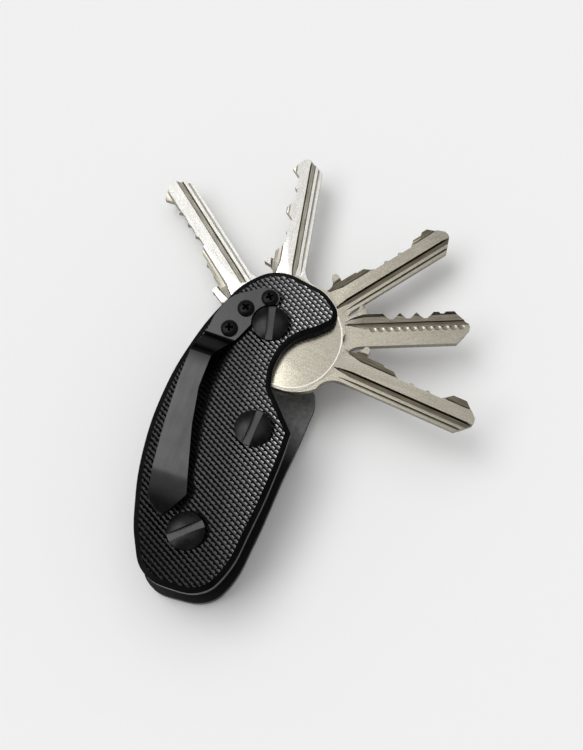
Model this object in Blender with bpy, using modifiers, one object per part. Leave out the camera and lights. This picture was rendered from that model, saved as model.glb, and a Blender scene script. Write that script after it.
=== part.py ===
"""Key organizer: two black plates on three posts, five keys fanned out on the pivot post, and a pocket clip.

Metres, +Z up. The organizer lies flat on the heads of its rear nuts. The origin is on the key pivot's axis, in
the plane that the rear heads rest on. +Y runs from the lower post to the pivot, and +X to the thumb notch.
"""

import math

import bmesh
import bpy

# Stack, from the rear heads to the front plate
REAR_HEAD_HEIGHT = 0.0012
PLATE_THICKNESS = 0.0030
KEY_THICKNESS = 0.0020
WASHER_THICKNESS = 0.0003
FACE_CLEARANCE = 0.00005
FIT_CLEARANCE = 0.0003

# Posts: the pivot is at the origin, and the other two are given from it
POST_SPAN = 0.0517
MIDDLE_POST_DOWN = 0.0250
MIDDLE_POST_ASIDE = 0.0053
POST_RADIUS = 0.00225
POST_WALL = 0.0006
HEAD_RADIUS = 0.0042
HEAD_RIM_HEIGHT = 0.0009
HEAD_DOME_HEIGHT = 0.0009
SLOT_WIDTH = 0.0017
SLOT_DEPTH = 0.0010
REAR_HEAD_CHAMFER = 0.0004
PIVOT_SLOT_ANGLE = 104.0
MIDDLE_SLOT_ANGLE = 88.0
LOWER_SLOT_ANGLE = 43.0
SLEEVE_WALL = 0.0010
SPACER_RADIUS = 0.0036
SPACER_COUNT = 4
WASHER_RADIUS = 0.0038

# Plate outline, each reach measured from the pivot or from the lower post
TOP_REACH = 0.0133
BOTTOM_REACH = 0.0125
REAR_HEEL = 0.0007
MOUTH_REACH = 0.0173
SPINE_REACH = 0.0137
NOSE_REACH = 0.0139
NOSE_UP = 0.0066
NOTCH_FLOOR = 0.0043
NOTCH_DOWN = 0.0088
THUMB_CUT_START_DOWN = 0.0144
THUMB_CUT_END_DOWN = 0.0229
HORN_REACH = 0.0145
HORN_DOWN = 0.0080
PLATE_BEVEL_WIDTH = 0.0012
PLATE_BEVEL_HEIGHT = 0.0008
GRIP_RADIUS = 0.0005
GRIP_PITCH = 0.0015
GRIP_COUNT = 5

# Pocket clip
CLIP_THICKNESS = 0.0010
CLIP_RISE = 0.0030
CLIP_RAMP_START_DOWN = 0.0070
CLIP_RAMP_LENGTH = 0.0062
CLIP_BEND_BACK = 0.0112
CLIP_TIP_BACK = 0.0009
CLIP_TIP_LIFT = 0.0030
CLIP_BEND_GAP = 0.0002
CLIP_OUTER_X = 0.0142
CLIP_ARM_WIDTH = 0.0050
CLIP_WIDEST = 0.0085
CLIP_SCREW_HEAD_RADIUS = 0.0020
CLIP_SCREW_HEAD_HEIGHT = 0.0010
CLIP_SCREW_RADIUS = 0.0009
CLIP_SCREW_DEPTH = 0.0026
CLIP_SCREW_PLACES = ((-0.0084, -0.0046), (-0.0066, 0.0014), (-0.0023, 0.0057))

# Key blank, in its own frame: X along the blade from the pivot hole, Y towards the cut edge
BOW_RADIUS = 0.0126
BOW_AHEAD = 0.0066
BOW_FACE_REACH = 0.0104
BOW_STEP = 0.0001
BLADE_WIDTH = 0.0082
NECK_RADIUS = 0.0048
NECK_BITE = 0.00065
SHOULDER_HEIGHT = 0.0023
SHOULDER_RADIUS = 0.0008
TIP_LENGTH = 0.0034
TIP_FLAT = 0.0018
TIP_BLUNT = 0.0002
SCOOP_RADIUS = 0.0029
CUT_PITCH = 0.00405
CUT_SLOPE = 0.85
GROOVE_RUN_OUT = 0.0045
GROOVE_LEAN = 0.25

# The makes of blank: where the blade's back lies, how wide a cut's root is, where the neck's scoop is centred
# before the shoulder and above the blade, and the grooves of both sides.
# Each groove is its low and high edge from the blade's back, its depth, and its start before the shoulder
GROOVED = {
    "back": 0.0048,
    "root": 0.0026,
    "scoop": (0.0042, 0.0025),
    "front": (
        (0.00175, 0.00355, 0.00075, 0.0060),
        (0.00060, 0.00125, 0.00045, 0.0040),
        (0.00600, 0.00930, 0.00055, 0.0053),
    ),
    "rear": (
        (0.00390, 0.00560, 0.00080, 0.0055),
        (-0.00050, 0.00120, 0.00045, 0.0030),
    ),
}
LONG_NECK = {**GROOVED, "scoop": (0.0065, 0.0037)}
PLAIN = {
    "back": 0.0040,
    "root": 0.0008,
    "scoop": (0.0042, 0.0025),
    "front": (
        (0.00490, 0.00620, 0.00075, 0.0055),
        (0.00345, 0.00890, 0.00035, 0.0050),
    ),
    "rear": ((0.00200, 0.00340, 0.00070, 0.0055),),
}

# The keys from the rear plate on: angle, hole to shoulder, blade length, first cut, cut depths, blank
KEYS = (
    (141.0, 0.0207, 0.0318, 0.0048, (0.0003, 0.0008, 0.0021, 0.0019, 0.0019, 0.0015), LONG_NECK),
    (101.1, 0.0220, 0.0287, 0.0060, (0.0021, 0.0026, 0.0008, 0.0027, 0.0025), GROOVED),
    (53.3, 0.0222, 0.0287, 0.0056, (0.0003, 0.0021, 0.0021, 0.0021, 0.0006), GROOVED),
    (22.0, 0.0226, 0.0243, 0.0059, (0.0014, 0.0013, 0.0014, 0.0004), PLAIN),
    (-5.2, 0.0231, 0.0285, 0.0060, (0.0005, 0.0020, 0.0020, 0.0020), GROOVED),
)

# Fineness, and how far a cutter reaches past what it cuts
ROUND_STEPS = 36
RING_STEPS = 28
SMALL_STEPS = 20
DOME_STEPS = 5
ARC_STEPS = 10
REACH_PAST = 0.002
CUT_LIFT = 0.0004

# What follows from the sizes above
REAR_PLATE_Z = REAR_HEAD_HEIGHT + FACE_CLEARANCE
BAY_Z = REAR_PLATE_Z + PLATE_THICKNESS
KEY_STEP = KEY_THICKNESS + WASHER_THICKNESS + 2 * FACE_CLEARANCE
BAY_HEIGHT = len(KEYS) * KEY_STEP + WASHER_THICKNESS + 2 * FACE_CLEARANCE
FRONT_PLATE_Z = BAY_Z + BAY_HEIGHT
FACE_Z = FRONT_PLATE_Z + PLATE_THICKNESS
POST_HOLE_RADIUS = POST_RADIUS + FIT_CLEARANCE
GRIP_EDGE = ((NOTCH_FLOOR + 0.0006, -NOTCH_DOWN - 0.0017), (HORN_REACH - 0.0019, -HORN_DOWN + 0.0008))
CLIP_RAMP_Y = -CLIP_RAMP_START_DOWN
CLIP_ARM_Y = CLIP_RAMP_Y - CLIP_RAMP_LENGTH
CLIP_BEND_Y = -POST_SPAN + CLIP_BEND_BACK
CLIP_TIP_Y = -POST_SPAN + CLIP_TIP_BACK
POSTS = {
    "pivot": (0.0, 0.0, PIVOT_SLOT_ANGLE),
    "middle": (MIDDLE_POST_ASIDE, -MIDDLE_POST_DOWN, MIDDLE_SLOT_ANGLE),
    "lower": (0.0, -POST_SPAN, LOWER_SLOT_ANGLE),
}


def clear_scene():
    for obj in list(bpy.data.objects):
        bpy.data.objects.remove(obj, do_unlink=True)


def new_collection(name):
    collection = bpy.data.collections.new(name)
    bpy.context.scene.collection.children.link(collection)
    return collection


def new_material(name, colour, roughness, metallic):
    material = bpy.data.materials.new(name)
    material.use_nodes = True
    shader = material.node_tree.nodes["Principled BSDF"]
    shader.inputs["Base Color"].default_value = (*colour, 1.0)
    shader.inputs["Roughness"].default_value = roughness
    shader.inputs["Metallic"].default_value = metallic
    material.diffuse_color = (*colour, 1.0)
    return material


clear_scene()
PARTS = new_collection("key_organizer")
CUTTERS = new_collection("key_organizer_cutters")


def add_part(name, mesh, colour, roughness, metallic, smooth_angle=30.0):
    """Links a named part, with its own material, round faces shaded smooth."""
    mesh.materials.clear()
    mesh.materials.append(new_material(name, colour, roughness, metallic))
    mesh.shade_smooth()
    mesh.set_sharp_from_angle(angle=math.radians(smooth_angle))
    obj = bpy.data.objects.new(name, mesh)
    PARTS.objects.link(obj)
    return obj


def add_cutter(name, mesh):
    obj = bpy.data.objects.new(name, mesh)
    obj.hide_render = True
    obj.display_type = "WIRE"
    CUTTERS.objects.link(obj)
    return obj


def boolean(obj, cutter):
    modifier = obj.modifiers.new(cutter.name, "BOOLEAN")
    modifier.object = cutter
    modifier.operation = "DIFFERENCE"
    modifier.solver = "EXACT"
    modifier.use_self = cutter.name.endswith("grooves")


def evaluated_mesh(obj, name):
    """The object's mesh with its modifiers applied, its loose caps welded."""
    bpy.context.view_layer.update()
    graph = bpy.context.evaluated_depsgraph_get()
    mesh = bpy.data.meshes.new_from_object(obj.evaluated_get(graph))
    mesh.name = name
    shape = bmesh.new()
    shape.from_mesh(mesh)
    bmesh.ops.remove_doubles(shape, verts=shape.verts, dist=0.000001)
    shape.to_mesh(mesh)
    shape.free()
    return mesh


def arc(centre, radius, start, end, steps=ARC_STEPS):
    """Points on an arc, its angles in degrees."""
    turn = [math.radians(start + (end - start) * i / steps) for i in range(steps + 1)]
    return [(centre[0] + radius * math.cos(a), centre[1] + radius * math.sin(a)) for a in turn]


def prism(name, outline, low, high):
    """A closed outline, counter-clockwise from above, extruded from low to high."""
    shape = bmesh.new()
    face = shape.faces.new([shape.verts.new((x, y, low)) for x, y in outline])
    top = bmesh.ops.extrude_face_region(shape, geom=[face])["geom"]
    raised = [item for item in top if isinstance(item, bmesh.types.BMVert)]
    bmesh.ops.translate(shape, verts=raised, vec=(0, 0, high - low))
    bmesh.ops.recalc_face_normals(shape, faces=shape.faces)
    mesh = bpy.data.meshes.new(name)
    shape.to_mesh(mesh)
    shape.free()
    return mesh


def disc(name, radius, low, high, steps=ROUND_STEPS, place=(0.0, 0.0)):
    """A round bar standing on Z."""
    shape = bmesh.new()
    bmesh.ops.create_cone(
        shape, cap_ends=True, segments=steps, radius1=radius, radius2=radius, depth=high - low
    )
    bmesh.ops.translate(shape, verts=shape.verts, vec=(place[0], place[1], (low + high) / 2))
    mesh = bpy.data.meshes.new(name)
    shape.to_mesh(mesh)
    shape.free()
    return mesh


def turned(name, profile, closed=False, steps=ROUND_STEPS):
    """A profile of (radius, height), outer side from top to bottom, turned about Z by a Screw modifier."""
    mesh = bpy.data.meshes.new(name)
    edges = [(i, i + 1) for i in range(len(profile) - 1)]
    if closed:
        edges.append((len(profile) - 1, 0))
    mesh.from_pydata([(r, 0.0, z) for r, z in profile], edges, [])
    scratch = bpy.data.objects.new(name + "_profile", mesh)
    bpy.context.scene.collection.objects.link(scratch)
    screw = scratch.modifiers.new("turn", "SCREW")
    screw.axis = "Z"
    screw.angle = math.tau
    screw.steps = steps
    screw.render_steps = steps
    screw.use_merge_vertices = True
    screw.merge_threshold = 0.00001
    solid = evaluated_mesh(scratch, name)
    bpy.data.objects.remove(scratch, do_unlink=True)
    return solid


def curve_outline(name, points, resolution=6):
    """A flat filled Bezier outline as one mesh face. A point whose third value is True is a corner."""
    curve = bpy.data.curves.new(name, "CURVE")
    curve.dimensions = "2D"
    curve.fill_mode = "BOTH"
    curve.resolution_u = resolution
    spline = curve.splines.new("BEZIER")
    spline.bezier_points.add(len(points) - 1)
    spline.use_cyclic_u = True
    for point, (x, y, corner) in zip(spline.bezier_points, points):
        point.co = (x, y, 0.0)
        point.handle_left_type = point.handle_right_type = "VECTOR" if corner else "AUTO"
    scratch = bpy.data.objects.new(name, curve)
    bpy.context.scene.collection.objects.link(scratch)
    mesh = evaluated_mesh(scratch, name)
    bpy.data.objects.remove(scratch, do_unlink=True)
    shape = bmesh.new()
    shape.from_mesh(mesh)
    bmesh.ops.dissolve_faces(shape, faces=shape.faces)
    if shape.faces[:][0].normal.z < 0:
        bmesh.ops.reverse_faces(shape, faces=shape.faces)
    return shape


# Handle plates


def plate_outline(front):
    """The knife-handle outline. The front plate is cut back below its notch, the rear has a horn and a heel."""
    top = [
        (-0.0125, 0.0015, False),
        (-0.0083, 0.0095, False),
        (-0.0030, TOP_REACH, False),
        (0.0045, TOP_REACH - 0.0003, False),
        (0.0105, TOP_REACH - 0.0022, False),
        (NOSE_REACH, NOSE_UP, False),
        (NOSE_REACH - 0.0021, NOSE_UP - 0.0033, False),
        (NOTCH_FLOOR + 0.0020, -0.0018, False),
        (NOTCH_FLOOR, -NOTCH_DOWN, False),
    ]
    thumb_cut = [
        (NOTCH_FLOOR + 0.0011, -THUMB_CUT_START_DOWN, True),
        (SPINE_REACH - 0.0002, -THUMB_CUT_END_DOWN, True),
    ]
    horn = [
        (*GRIP_EDGE[0], False),
        (*GRIP_EDGE[1], False),
        (HORN_REACH - 0.0002, -HORN_DOWN - 0.0012, False),
        (HORN_REACH + 0.0001, -HORN_DOWN - 0.0070, False),
    ]
    heel = 0.0 if front else REAR_HEEL
    lower = [
        (SPINE_REACH, -POST_SPAN + 0.0210, False),
        (SPINE_REACH - 0.0008, -POST_SPAN + 0.0050, False),
        (SPINE_REACH - 0.0024, -POST_SPAN - 0.0058, False),
        (SPINE_REACH - 0.0055, -POST_SPAN - BOTTOM_REACH + 0.0018, False),
        (0.0015, -POST_SPAN - BOTTOM_REACH - 0.3 * heel, False),
        (-0.0055 - 0.5 * heel, -POST_SPAN - BOTTOM_REACH + 0.0012 - heel, False),
        (-0.0097 - 0.6 * heel, -POST_SPAN - 0.0060 - heel, False),
        (-MOUTH_REACH + 0.0041, -POST_SPAN + 0.0021, False),
        (-MOUTH_REACH + 0.0010, -POST_SPAN + 0.0142, False),
        (-MOUTH_REACH, -POST_SPAN + 0.0282, False),
        (-MOUTH_REACH + 0.0014, -0.0105, False),
    ]
    return top + (thumb_cut if front else horn) + lower


def add_plate(name, front, low, colour):
    """A flat plate, its outer face bevelled all round, its posts' and clip screws' holes drilled."""
    shape = curve_outline(name, plate_outline(front))
    outer, inner = (1, -1) if front else (-1, 1)
    inside = low if front else low + PLATE_THICKNESS
    outside = low + PLATE_THICKNESS if front else low
    bmesh.ops.translate(shape, verts=shape.verts, vec=(0, 0, inside))
    if not front:
        bmesh.ops.reverse_faces(shape, faces=shape.faces)
    base = shape.faces[:][0]
    grown = bmesh.ops.extrude_face_region(shape, geom=[base], use_keep_orig=True)["geom"]
    wall_top = [item for item in grown if isinstance(item, bmesh.types.BMVert)]
    bmesh.ops.translate(
        shape, verts=wall_top, vec=(0, 0, outer * (PLATE_THICKNESS - PLATE_BEVEL_HEIGHT))
    )
    face = [item for item in grown if isinstance(item, bmesh.types.BMFace)][0]
    bmesh.ops.inset_individual(
        shape, faces=[face], thickness=PLATE_BEVEL_WIDTH, depth=0.0, use_even_offset=True
    )
    bmesh.ops.translate(shape, verts=face.verts, vec=(0, 0, outside - face.verts[0].co.z))
    bmesh.ops.recalc_face_normals(shape, faces=shape.faces)
    mesh = bpy.data.meshes.new(name)
    shape.to_mesh(mesh)
    shape.free()
    plate = add_part(name, mesh, colour, 0.45, 0.7)
    span = (low - REACH_PAST, low + PLATE_THICKNESS + REACH_PAST)
    for post, (x, y, _) in POSTS.items():
        hole = disc("hole", POST_HOLE_RADIUS, *span, place=(x, y))
        boolean(plate, add_cutter(f"{name}_{post}_hole", hole))
    if front:
        for i, place in enumerate(CLIP_SCREW_PLACES):
            hole = disc("hole", CLIP_SCREW_RADIUS + FIT_CLEARANCE, *span, SMALL_STEPS, place)
            boolean(plate, add_cutter(f"{name}_clip_hole_{i + 1}", hole))
    else:
        add_grip(plate, span)
    return plate


def add_grip(plate, span):
    """Small round thumb serrations along the rear plate's horn."""
    start, end = GRIP_EDGE
    length = math.dist(start, end)
    along = ((end[0] - start[0]) / length, (end[1] - start[1]) / length)
    first = length / 2 - GRIP_PITCH * (GRIP_COUNT - 1) / 2
    for i in range(GRIP_COUNT):
        reach = first + GRIP_PITCH * i
        place = (start[0] + along[0] * reach, start[1] + along[1] * reach)
        cutter = disc("serration", GRIP_RADIUS, *span, 12, place)
        boolean(plate, add_cutter(f"{plate.name}_serration_{i + 1}", cutter))


# Posts


def add_post(post, x, y, slot_angle):
    """A headed nut whose barrel runs through both plates, and the domed slotted screw that clamps it."""
    bore = POST_RADIUS - POST_WALL
    barrel_top = FACE_Z - FIT_CLEARANCE
    bore_floor = REAR_HEAD_HEIGHT + 0.001
    barrel = turned(
        f"{post}_barrel",
        [
            (0.0, bore_floor),
            (bore, bore_floor),
            (bore, barrel_top),
            (POST_RADIUS, barrel_top),
            (POST_RADIUS, REAR_HEAD_HEIGHT),
            (HEAD_RADIUS, REAR_HEAD_HEIGHT),
            (HEAD_RADIUS, REAR_HEAD_CHAMFER),
            (HEAD_RADIUS - REAR_HEAD_CHAMFER, 0.0),
            (0.0, 0.0),
        ],
    )
    nut = add_part(f"{post}_barrel", barrel, (0.05, 0.05, 0.052), 0.4, 0.9)
    nut.location = (x, y, 0.0)

    seat = FACE_Z + FACE_CLEARANCE
    rim = seat + HEAD_RIM_HEIGHT
    dome_radius = (HEAD_RADIUS**2 + HEAD_DOME_HEIGHT**2) / (2 * HEAD_DOME_HEIGHT)
    dome_centre = rim + HEAD_DOME_HEIGHT - dome_radius
    dome = []
    for i in range(DOME_STEPS + 1):
        radius = HEAD_RADIUS * i / DOME_STEPS
        dome.append((radius, dome_centre + math.sqrt(dome_radius**2 - radius**2)))
    shank = bore - FIT_CLEARANCE
    end = bore_floor + 0.001
    profile = dome + [(HEAD_RADIUS, seat), (shank, seat), (shank, end), (0.0, end)]
    solid = turned(f"{post}_screw", profile)
    screw = add_part(f"{post}_screw", solid, (0.03, 0.03, 0.032), 0.3, 0.9)
    screw.location = (x, y, 0.0)
    half = HEAD_RADIUS + REACH_PAST
    side = SLOT_WIDTH / 2
    floor = rim + HEAD_DOME_HEIGHT - SLOT_DEPTH
    outline = [(-half, -side), (half, -side), (half, side), (-half, side)]
    slot = add_cutter(f"{post}_slot", prism("slot", outline, floor, floor + SLOT_DEPTH + REACH_PAST))
    slot.location = (x, y, 0.0)
    slot.rotation_euler.z = math.radians(slot_angle)
    boolean(screw, slot)


def ring(name, inner, outer, low, high, steps=ROUND_STEPS):
    profile = [(inner, high), (outer, high), (outer, low), (inner, low)]
    return turned(name, profile, closed=True, steps=steps)


def add_sleeve_and_spacers():
    """What keeps the plates apart: a sleeve on the middle post, and a stack of spacers on the lower post."""
    low, high = BAY_Z + FACE_CLEARANCE, FRONT_PLATE_Z - FACE_CLEARANCE
    x, y, _ = POSTS["middle"]
    sleeve = ring("middle_sleeve", POST_HOLE_RADIUS, POST_HOLE_RADIUS + SLEEVE_WALL, low, high)
    add_part("middle_sleeve", sleeve, (0.10, 0.10, 0.105), 0.4, 0.9).location = (x, y, 0.0)
    x, y, _ = POSTS["lower"]
    thickness = (BAY_HEIGHT - FACE_CLEARANCE * (SPACER_COUNT + 1)) / SPACER_COUNT
    for i in range(SPACER_COUNT):
        name = f"lower_spacer_{i + 1}"
        base = low + i * (thickness + FACE_CLEARANCE)
        spacer = ring(name, POST_HOLE_RADIUS, SPACER_RADIUS, base, base + thickness, RING_STEPS)
        add_part(name, spacer, (0.45, 0.45, 0.46), 0.35, 0.9).location = (x, y, 0.0)


def add_washers():
    for i in range(len(KEYS) + 1):
        base = BAY_Z + FACE_CLEARANCE + i * KEY_STEP
        name = f"key_washer_{i + 1}"
        washer = ring(name, POST_HOLE_RADIUS, WASHER_RADIUS, base, base + WASHER_THICKNESS, RING_STEPS)
        add_part(name, washer, (0.62, 0.47, 0.22), 0.3, 0.9)


# Pocket clip


def clip_outline():
    """The clip's flat pattern: a base round the pivot head, a narrow arm that widens, and a pointed tip."""
    outer = -CLIP_OUTER_X
    hug = HEAD_RADIUS + FIT_CLEARANCE
    last_screw = CLIP_SCREW_PLACES[2]
    pad = CLIP_SCREW_HEAD_RADIUS + FIT_CLEARANCE
    inner = outer + CLIP_ARM_WIDTH
    widest = outer + CLIP_WIDEST
    points = arc((0.0, 0.0), hug, 98.0, 205.0, 14)
    points += [(-0.0056, CLIP_RAMP_Y + 0.0012), (inner, CLIP_ARM_Y), (inner, CLIP_ARM_Y - 0.0075)]
    points += [(inner + 0.0017, CLIP_ARM_Y - 0.0160), (widest + 0.0016, CLIP_BEND_Y)]
    points += [(widest + 0.0030, CLIP_BEND_Y - 0.0040), (outer + 0.0094, CLIP_TIP_Y + 0.0012)]
    points += [(outer + 0.0086, CLIP_TIP_Y), (outer + 0.0074, CLIP_TIP_Y + 0.0003)]
    points += [(outer + 0.0052, CLIP_TIP_Y + 0.0017), (outer + 0.0036, CLIP_TIP_Y + 0.0034)]
    points += [(outer + 0.0018, CLIP_BEND_Y), (outer + 0.0007, CLIP_ARM_Y - 0.0180)]
    points += [(outer, CLIP_ARM_Y - 0.0070), (outer, CLIP_ARM_Y), (outer + 0.0011, CLIP_RAMP_Y + 0.0010)]
    points += [(outer + 0.0013, -0.0027), (outer + 0.0025, 0.0018), (outer + 0.0040, 0.0038)]
    points += [(last_screw[0] - 0.0022, last_screw[1] + pad - 0.0001)]
    points += arc(last_screw, pad, 88.0, -25.0, 8)
    return points[::-1]


def clip_height(y):
    """The sheet's height above its base: flat, up the ramp, down the arm to the bend, and up to the tip."""
    if y >= CLIP_RAMP_Y:
        return 0.0
    if y >= CLIP_ARM_Y:
        share = (CLIP_RAMP_Y - y) / CLIP_RAMP_LENGTH
        return CLIP_RISE * share * share * (3 - 2 * share)
    if y >= CLIP_BEND_Y:
        share = (CLIP_ARM_Y - y) / (CLIP_ARM_Y - CLIP_BEND_Y)
        return CLIP_RISE + (CLIP_BEND_GAP - CLIP_RISE) * share ** 1.1
    share = (CLIP_BEND_Y - y) / (CLIP_BEND_Y - CLIP_TIP_Y)
    return CLIP_BEND_GAP + CLIP_TIP_LIFT * share ** 1.7


def add_clip():
    """One piece of spring sheet: the flat pattern is sliced across, lifted to its side shape and thickened."""
    shape = bmesh.new()
    face = shape.faces.new([shape.verts.new((x, y, 0.0)) for x, y in clip_outline()])
    if face.normal.z < 0:
        bmesh.ops.reverse_faces(shape, faces=[face])
    slices = [CLIP_RAMP_Y - CLIP_RAMP_LENGTH * i / 8 for i in range(9)]
    slices += [CLIP_ARM_Y + (CLIP_BEND_Y - CLIP_ARM_Y) * i / 8 for i in range(1, 9)]
    slices += [CLIP_BEND_Y + (CLIP_TIP_Y - CLIP_BEND_Y) * i / 8 for i in range(1, 8)]
    for y in slices:
        whole = shape.verts[:] + shape.edges[:] + shape.faces[:]
        bmesh.ops.bisect_plane(shape, geom=whole, plane_co=(0, y, 0), plane_no=(0, 1, 0), dist=1e-6)
    base_z = FACE_Z + FACE_CLEARANCE + CLIP_THICKNESS / 2
    for vert in shape.verts:
        vert.co.z = base_z + clip_height(vert.co.y)
    mesh = bpy.data.meshes.new("pocket_clip")
    shape.to_mesh(mesh)
    shape.free()
    clip = add_part("pocket_clip", mesh, (0.09, 0.09, 0.092), 0.42, 0.9, 20.0)
    wall = clip.modifiers.new("sheet", "SOLIDIFY")
    wall.thickness = CLIP_THICKNESS
    wall.offset = 0.0
    wall.use_even_offset = False
    span = (FACE_Z - REACH_PAST, FACE_Z + CLIP_THICKNESS + REACH_PAST)
    for i, place in enumerate(CLIP_SCREW_PLACES):
        hole = disc("hole", CLIP_SCREW_RADIUS + FIT_CLEARANCE, *span, SMALL_STEPS, place)
        boolean(clip, add_cutter(f"pocket_clip_hole_{i + 1}", hole))


def add_clip_screws():
    """Small pan-head screws through the clip into the front plate."""
    seat = FACE_Z + CLIP_THICKNESS + 2 * FACE_CLEARANCE
    top = seat + CLIP_SCREW_HEAD_HEIGHT
    end = seat - CLIP_THICKNESS - CLIP_SCREW_DEPTH
    radius = CLIP_SCREW_HEAD_RADIUS
    profile = [
        (0.0, top),
        (radius * 0.55, top - 0.00008),
        (radius * 0.85, top - 0.00032),
        (radius, top - 0.00072),
        (radius, seat),
        (CLIP_SCREW_RADIUS, seat),
        (CLIP_SCREW_RADIUS, end),
        (0.0, end),
    ]
    for i, (x, y) in enumerate(CLIP_SCREW_PLACES):
        name = f"clip_screw_{i + 1}"
        solid = turned(name, profile, steps=SMALL_STEPS)
        screw = add_part(name, solid, (0.02, 0.02, 0.021), 0.4, 0.8)
        screw.location = (x, y, 0.0)


# Keys


def blank_outline(shoulder, length, blank):
    """The uncut key from above: round bow, scooped neck, shoulder stop, straight blade and pointed tip."""
    back = -blank["back"]
    land = back + BLADE_WIDTH
    stop = land + SHOULDER_HEIGHT
    tip = shoulder + length
    tip_middle = (land + back) / 2
    bow = (BOW_AHEAD, 0.0)
    apart = BOW_RADIUS + NECK_RADIUS - NECK_BITE
    neck_y = back - NECK_RADIUS
    neck = (BOW_AHEAD + math.sqrt(apart**2 - neck_y**2), neck_y)
    on_bow, on_neck = crossing(bow, BOW_RADIUS, neck, NECK_RADIUS)
    points = arc(bow, BOW_RADIUS, 54.0, on_bow, 32)
    points += arc(neck, NECK_RADIUS, on_neck, 90.0, 8)[1:]
    points += [(tip - TIP_LENGTH, back), (tip - TIP_BLUNT, tip_middle - TIP_FLAT / 2)]
    points += [(tip, tip_middle), (tip - TIP_BLUNT, tip_middle + TIP_FLAT / 2)]
    points += [(tip - TIP_LENGTH, land), (shoulder, land)]
    corner = (shoulder - SHOULDER_RADIUS, stop - SHOULDER_RADIUS)
    points += arc(corner, SHOULDER_RADIUS, 0.0, 130.0, 5)
    scoop = (shoulder - blank["scoop"][0], land + blank["scoop"][1])
    return points + arc(scoop, SCOOP_RADIUS, 320.0, 165.0, 8)


def crossing(one, one_radius, other, other_radius):
    """Where two circles cross, on the clockwise side from the first: its angle on each, in degrees."""
    span = math.dist(one, other)
    heading = math.degrees(math.atan2(other[1] - one[1], other[0] - one[0]))
    along = (one_radius**2 - other_radius**2 + span**2) / (2 * span)
    on_one = heading - math.degrees(math.acos(along / one_radius))
    on_other = heading + 180.0 + math.degrees(math.acos((span - along) / other_radius))
    return on_one % 360.0, on_other % 360.0


def bitting_line(first, depths, land, root):
    """The cut edge: flat roots at one pitch, with sloped flanks that meet in peaks."""
    cuts = [(first + i * CUT_PITCH, land - depth) for i, depth in enumerate(depths)]
    half = root / 2

    def height(x):
        return min(floor + CUT_SLOPE * max(0.0, abs(x - place) - half) for place, floor in cuts)

    above = land + CUT_LIFT
    turns = [cuts[0][0] - half - (above - cuts[0][1]) / CUT_SLOPE]
    turns.append(cuts[-1][0] + half + (above - cuts[-1][1]) / CUT_SLOPE)
    for place, _ in cuts:
        turns += [place - half, place + half]
    for (place, floor), (after, next_floor) in zip(cuts[:-1], cuts[1:]):
        meet = (place + after) / 2 + (next_floor - floor) / (2 * CUT_SLOPE)
        run = abs(next_floor - floor) / CUT_SLOPE
        turns += [meet, place + half + run if next_floor > floor else after - half - run]
    return [(x, height(x)) for x in sorted(turns)]


def groove_bars(name, grooves, blade_back, shoulder, end, top):
    """Bars along one side of the blade that run out to points on the neck, as a round cutter leaves them."""
    side = 1 if top else -1
    surface = side * (KEY_THICKNESS / 2 - BOW_STEP)
    shape = bmesh.new()
    for low, high, depth, lead in grooves:
        low, high = low - blade_back, high - blade_back
        middle = (low + high) / 2
        lean = (high - low) * GROOVE_LEAN
        start = shoulder - lead
        loops = []
        for x, share in (
            (start, 0.08),
            (start + GROOVE_RUN_OUT * 0.3, 0.55),
            (start + GROOVE_RUN_OUT, 1.0),
            (end, 1.0),
        ):
            floor = surface - side * depth * share
            mouth = surface + side * CUT_LIFT
            section = [(low, mouth), (low + lean, floor), (high - lean, floor), (high, mouth)]
            narrow = [(x, middle + (y - middle) * share, z) for y, z in section]
            loops.append([shape.verts.new(point) for point in narrow])
        for a, b in zip(loops[:-1], loops[1:]):
            for i in range(4):
                shape.faces.new((a[i], a[(i + 1) % 4], b[(i + 1) % 4], b[i]))
        shape.faces.new(loops[0])
        shape.faces.new(loops[-1])
    bmesh.ops.recalc_face_normals(shape, faces=shape.faces)
    mesh = bpy.data.meshes.new(name)
    shape.to_mesh(mesh)
    shape.free()
    return mesh


def step_outline(far):
    """Everything past the front edge of the bow's raised face, which is part of an ellipse."""
    points = []
    for x, y in arc((0.0, 0.0), 1.0, -75.0, 75.0, 20):
        points.append((BOW_AHEAD + BOW_FACE_REACH * x, (BOW_RADIUS + CUT_LIFT) * y))
    return points[::-1] + [(far, -BOW_RADIUS - REACH_PAST), (far, BOW_RADIUS + REACH_PAST)]


def add_key(number, angle, shoulder, length, first_cut, depths, blank):
    name = f"key_{number}"
    half = KEY_THICKNESS / 2
    uncut = prism(name, blank_outline(shoulder, length, blank), -half, half)
    key = add_part(name, uncut, (0.60, 0.56, 0.44), 0.3, 1.0)
    key.location.z = BAY_Z + WASHER_THICKNESS + 2 * FACE_CLEARANCE + half + KEY_STEP * (number - 1)
    key.rotation_euler.z = math.radians(angle)
    back = blank["back"]
    land = BLADE_WIDTH - back
    far = shoulder + length + REACH_PAST
    deep = half + REACH_PAST
    line = bitting_line(shoulder + first_cut, depths, land, blank["root"])
    bitting = line + [(line[-1][0], land + 2 * REACH_PAST), (line[0][0], land + 2 * REACH_PAST)]
    step = step_outline(far)
    cutters = {
        "front_step": prism("step", step, half - BOW_STEP, deep),
        "back_step": prism("step", step, -deep, BOW_STEP - half),
        "front_grooves": groove_bars("grooves", blank["front"], back, shoulder, far, True),
        "back_grooves": groove_bars("grooves", blank["rear"], back, shoulder, far, False),
        "cuts": prism("cuts", bitting, -deep, deep),
        "hole": disc("hole", POST_HOLE_RADIUS, -deep, deep),
    }
    for label, mesh in cutters.items():
        cutter = add_cutter(f"{name}_{label}", mesh)
        cutter.parent = key
        boolean(key, cutter)


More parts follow.
